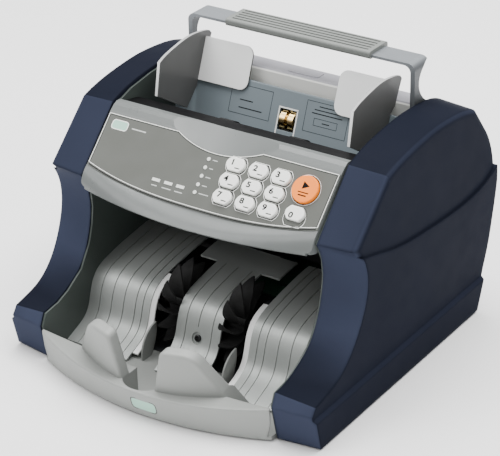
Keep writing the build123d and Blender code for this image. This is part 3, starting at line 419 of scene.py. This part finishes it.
PANEL_BADGE_INNER, PANEL_BADGE_OUTER = (14.6, 7.0, 2.2), (16.0, 8.4, 2.8)   # width, height, corner
TRAY_BADGE_AT = (9.5, 13.0)
BADGE_HALF_WIDE, BADGE_HALF_HIGH, BADGE_CORNER = 11.0, 4.9, 2.6
PRINT_LIFT = 0.06                         # prints stand this far off their surface
RAY_START, RAY_REACH = 12, 30             # how far out a print looks for its surface, and how far it looks
FRAME_LINE = 0.4
# the back plate window, and the width of the painted highlight along its edge
WINDOW_HALF, WINDOW_FOOT, WINDOW_TOP, WINDOW_HIGHLIGHT_WIDE = 8.8, 8, 36.3, 1.2


def sloping(foot, slope):
    """Matrix from a sloping face's own plane, in millimetres, to the shared frame."""
    up = Vector((0, math.cos(slope), math.sin(slope)))
    out = Vector((0, -math.sin(slope), math.cos(slope)))
    origin = Vector((0, foot[0] - ORIGIN_Y, foot[1])) * MM
    return Matrix((
        (MM, 0, 0, origin.x),
        (0, up.y * MM, out.y * MM, origin.y),
        (0, up.z * MM, out.z * MM, origin.z),
        (0, 0, 0, 1)))


PANEL = sloping(PANEL_FOOT, PANEL_SLOPE)
PLATE = sloping(PLATE_FOOT, PLATE_SLOPE)
TRAY_FACE = sloping((-38.0, 0.0), math.radians(90))


def laid(plane, node, points):
    """Puts plane points on the node's surface, looking straight down on the plane."""
    mesh = NODES[node].data
    tree = BVHTree.FromPolygons([v.co for v in mesh.vertices], [p.vertices for p in mesh.polygons])
    down = -(plane.to_3x3() @ Vector((0, 0, 1))).normalized()
    placed = []
    for x, u in points:
        start = plane @ Vector((x, u, RAY_START))
        spot = tree.ray_cast(start, down, RAY_REACH * MM)[0] or plane @ Vector((x, u, 0))
        placed.append(spot - down * PRINT_LIFT * MM)
    return placed


def ink(name, plane, node, shapes, body, paint):
    """Thin print: shapes is a list of (points, faces)."""
    points, faces = [], []
    for shape_points, shape_faces in shapes:
        base = len(points)
        points += shape_points
        faces += [tuple(base + i for i in face) for face in shape_faces]
    mesh = bpy.data.meshes.new(name)
    mesh.from_pydata(laid(plane, node, points), [], faces)
    mesh.materials.append(paint)
    piece = bpy.data.objects.new(name, mesh)
    bpy.context.scene.collection.objects.link(piece)
    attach(piece, body)


def ring(outer, inner):
    """Closed ribbon between two outlines with the same number of points."""
    n = len(outer)
    faces = [(i, (i + 1) % n, n + (i + 1) % n, n + i) for i in range(n)]
    return outer + inner, faces


def stroke(points, width):
    """Open ribbon along a path."""
    left, right = [], []
    for i, (x, y) in enumerate(points):
        x0, y0 = points[max(i - 1, 0)]
        x1, y1 = points[min(i + 1, len(points) - 1)]
        length = math.hypot(x1 - x0, y1 - y0)
        nx, ny = -(y1 - y0) / length * width / 2, (x1 - x0) / length * width / 2
        left.append((x + nx, y + ny))
        right.append((x - nx, y - ny))
    n = len(points)
    return left + right, [(i, i + 1, n + i + 1, n + i) for i in range(n - 1)]


def dash(x, y, length, width):
    return stroke([(x, y), (x + length / 2, y), (x + length, y)], width)


def arc(centre, radius, start, end, steps):
    turns = [math.radians(start + (end - start) * i / steps) for i in range(steps + 1)]
    return [(centre[0] + radius * math.cos(t), centre[1] + radius * math.sin(t)) for t in turns]


def key_outline(at, grow):
    """The number key's barrel outline, grown by a margin."""
    wide, high = KEY_HALF_WIDE + grow, KEY_HALF_HIGH + grow
    flat, side, low = wide - 3.3, wide - 0.9, high - 2.9
    belly = wide - 0.2
    half = [(-flat, high), (0, high), (flat, high), (side, low), (belly, low / 2), (wide, 0),
            (belly, -low / 2), (side, -low)]
    points = half + [(-x, -y) for x, y in half]
    return [(at[0] + x, at[1] + y) for x, y in points]


def panel_foot_curve(x, rise):
    return -PANEL_DROP + PANEL_SWEEP * abs(x / PANEL_HALF) ** SWEEP_POWER + rise


def panel_border(inset, foot_rise):
    """Outline round the printed panel, from the bottom left corner anticlockwise."""
    half, steps = PANEL_HALF - inset, 56
    points = []
    for i in range(steps + 1):
        x = -half + 2 * half * i / steps
        points.append((x, panel_foot_curve(x, foot_rise)))
    top = PANEL_TOP - inset
    radius = (SWOOP_HALF ** 2 + SWOOP_DEPTH ** 2) / (2 * SWOOP_DEPTH)
    centre_u = PANEL_TOP - SWOOP_DEPTH + radius
    reach = radius + inset
    swing = math.degrees(math.acos((centre_u - top) / reach))
    points += [(half, top * k / 4) for k in range(1, 4)] + [(half, top)]
    points += arc((0, centre_u), reach, -90 + swing, -90 - swing, 40)
    points += [(-half, top)] + [(-half, top * k / 4) for k in range(3, 0, -1)]
    return points


def rounded_box(centre, wide, high, radius):
    x, y = wide / 2 - radius, high / 2 - radius
    points = []
    for turn, (sx, sy) in enumerate(((1, 1), (-1, 1), (-1, -1), (1, -1))):
        points += arc((centre[0] + sx * x, centre[1] + sy * y), radius, 90 * turn, 90 * turn + 90, 5)
    return points


def digit_shape(text, at, size, wide):
    """Outline faces of a figure in the plain built-in letter form."""
    curve = bpy.data.curves.new("figure", "FONT")
    curve.body, curve.size = text, size
    curve.align_x, curve.align_y = "CENTER", "CENTER"
    curve.resolution_u = 6
    curve.offset = 0.03 * size
    carrier = bpy.data.objects.new("figure", curve)
    mesh = bpy.data.meshes.new_from_object(carrier)
    points = [(at[0] + v.co.x * wide, at[1] + v.co.y) for v in mesh.vertices]
    faces = [tuple(p.vertices) for p in mesh.polygons]
    bpy.data.objects.remove(carrier)
    bpy.data.curves.remove(curve)
    bpy.data.meshes.remove(mesh)
    return points, faces


def printed_ink(name, colour, rough, drift, gloss=0.35):
    return moulded(name, colour, rough=rough, grain=2600, grain_depth=0.1, drift=drift, gloss=gloss)


BLACK_INK = printed_ink("black_ink", (0.006, 0.006, 0.006), rough=0.5, drift=0.1, gloss=0.05)
WHITE_INK = printed_ink("white_ink", (0.86, 0.87, 0.84), rough=0.38, drift=0.02)
DARK_INK = printed_ink("dark_ink", (0.014, 0.015, 0.015), rough=0.5, drift=0.08, gloss=0.05)
PALE_INK = printed_ink("pale_ink", (0.50, 0.52, 0.50), rough=0.42, drift=0.04)
BADGE_INK = printed_ink("badge_ink", (0.34, 0.56, 0.46), rough=0.35, drift=0.12)


def print_keys():
    places = {0: ZERO_AT}
    for row, u in enumerate(KEY_ROWS):
        for column, x in enumerate(KEY_COLUMNS):
            places[3 * row + column + 1] = (x, u)
    rings, shades = [], []
    for digit, (x, u) in places.items():
        node, body = f"key_{digit}", f"key_{digit}_button"
        shapes = [digit_shape(str(digit), (x - 2.5, u + 1.0), FIGURE_SIZE, FIGURE_STRETCH),
                  dash(x + 0.6, u - 3.0, 4.8, 0.8)]
        ink(f"legend_{digit}", PANEL, node, shapes, body, BLACK_INK)
        inner, middle, outer = [key_outline((x, u), grow) for grow in RING_STEPS]
        rings.append(ring(outer, middle))
        shades.append(ring(middle, inner))
    n = 48
    inner, middle, outer = [arc(START_AT, START_R + grow, 0, 360 - 360 / n, n - 1) for grow in RING_STEPS]
    rings.append(ring(outer, middle))
    shades.append(ring(middle, inner))
    ink("key_rings", PANEL, "panel_overlay", rings, "case", WHITE_INK)
    ink("key_shades", PANEL, "panel_overlay", shades, "case", DARK_INK)


def print_start_key():
    """Plain start mark: a triangle over two bars."""
    x, u = START_AT
    triangle = [(x - 2.4, u + 5.6), (x - 2.4, u - 0.6), (x + 3.4, u + 2.5)]
    shapes = [(triangle, [(0, 1, 2)]), dash(x - 4.6, u - 3.2, 9.2, 0.8), dash(x - 3.6, u - 5.6, 7.2, 1.0)]
    ink("start_mark", PANEL, "start_key", shapes, "start_key_button", BLACK_INK)


def print_panel():
    ink("border_line", PANEL, "panel_overlay", [ring(panel_border(0.75, 2.75), panel_border(0.25, 2.25))],
        "case", WHITE_INK)
    ink("border_shade", PANEL, "panel_overlay", [ring(panel_border(1.6, 1.3), panel_border(1.2, 0.5))],
        "case", DARK_INK)
    shapes = [dash(LAMP_X + 3.6, u, length, 0.7)
              for u, length in zip(LAMP_ROWS, LAMP_DASHES)]
    shapes += [dash(x - length / 2, BAR_U - 4.6, length, 0.8)
               for x, length in zip(BAR_AT, BAR_DASHES)]
    shapes.append(dash(*NAME_DASH))
    ink("label_dashes", PANEL, "panel_overlay", shapes, "case", PALE_INK)
    inner, outer = [rounded_box(PANEL_BADGE_AT, *size) for size in (PANEL_BADGE_INNER, PANEL_BADGE_OUTER)]
    ink("panel_badge", PANEL, "panel_overlay", [(inner, [tuple(range(len(inner)))])],
        "case", BADGE_INK)
    ink("panel_badge_rim", PANEL, "panel_overlay", [ring(outer, inner)], "case", WHITE_INK)


def print_tray_badge():
    """Blank one-colour badge with a dark rim, as a grid that follows the front of the catch tray."""
    columns, half_rows, points = 22, 3, []
    for i in range(columns + 1):
        x = -BADGE_HALF_WIDE + 2 * BADGE_HALF_WIDE * i / columns
        corner = max(abs(x) - (BADGE_HALF_WIDE - BADGE_CORNER), 0.0)
        reach = BADGE_HALF_HIGH - BADGE_CORNER + math.sqrt(BADGE_CORNER ** 2 - corner ** 2)
        points += [(TRAY_BADGE_AT[0] + x, TRAY_BADGE_AT[1] + reach * k / half_rows)
                   for k in range(-half_rows, half_rows + 1)]
    step = 2 * half_rows + 1
    faces = [(step * i + k, step * (i + 1) + k, step * (i + 1) + k + 1, step * i + k + 1)
             for i in range(columns) for k in range(2 * half_rows)]
    ink("tray_badge", TRAY_FACE, "front_tray", [(points, faces)], "case", BADGE_INK)
    rim = [rounded_box(TRAY_BADGE_AT, 2 * BADGE_HALF_WIDE + grow, 2 * BADGE_HALF_HIGH + grow,
                       BADGE_CORNER + grow / 2) for grow in (1.8, 0.8)]
    ink("tray_badge_rim", TRAY_FACE, "front_tray", [ring(*rim)], "case", DARK_INK)


def frame_box(x0, x1, y0, y1):
    """Thin rectangular frame, FRAME_LINE wide."""
    outer = [(x0, y0), (x1, y0), (x1, y1), (x0, y1)]
    left, right, low, high = x0 + FRAME_LINE, x1 - FRAME_LINE, y0 + FRAME_LINE, y1 - FRAME_LINE
    inner = [(left, low), (right, low), (right, high), (left, high)]
    return ring(outer, inner)


def print_back_plate():
    """Two framed label fields with plain rules, a smaller frame in one, and a painted highlight along the
    window's edge.
    """
    fields = [frame_box(-57.5, -17, 21.8, 46.5), frame_box(16, 56.5, 21.8, 47.5),
              frame_box(25, 47.3, 28, 34.2)]
    fields += [dash(-48, y, length, 0.9) for y, length in ((34.0, 13.0), (27.5, 23.0))]
    fields += [dash(x, y, length, 0.8) for x, y, length in
               ((28, 44, 17), (24, 41, 25), (22, 38, 29), (33, 31, 7))]
    ink("plate_fields", PLATE, "hopper_back_plate", fields, "case", DARK_INK)
    # painted highlight: white strokes up the window's sides and across its top
    middle, corner = 20, 9.4
    climb = (WINDOW_FOOT, middle, WINDOW_TOP)
    left = stroke([(-WINDOW_HALF, u) for u in climb], WINDOW_HIGHLIGHT_WIDE)
    top = stroke([(x, WINDOW_TOP) for x in (-corner, 0, corner)], WINDOW_HIGHLIGHT_WIDE)
    right = stroke([(WINDOW_HALF, u) for u in reversed(climb)], WINDOW_HIGHLIGHT_WIDE)
    ink("window_edge_highlight", PLATE, "hopper_back_plate", [left, top, right], "case", WHITE_INK)


print_keys()
print_start_key()
print_panel()
print_tray_badge()
print_back_plate()
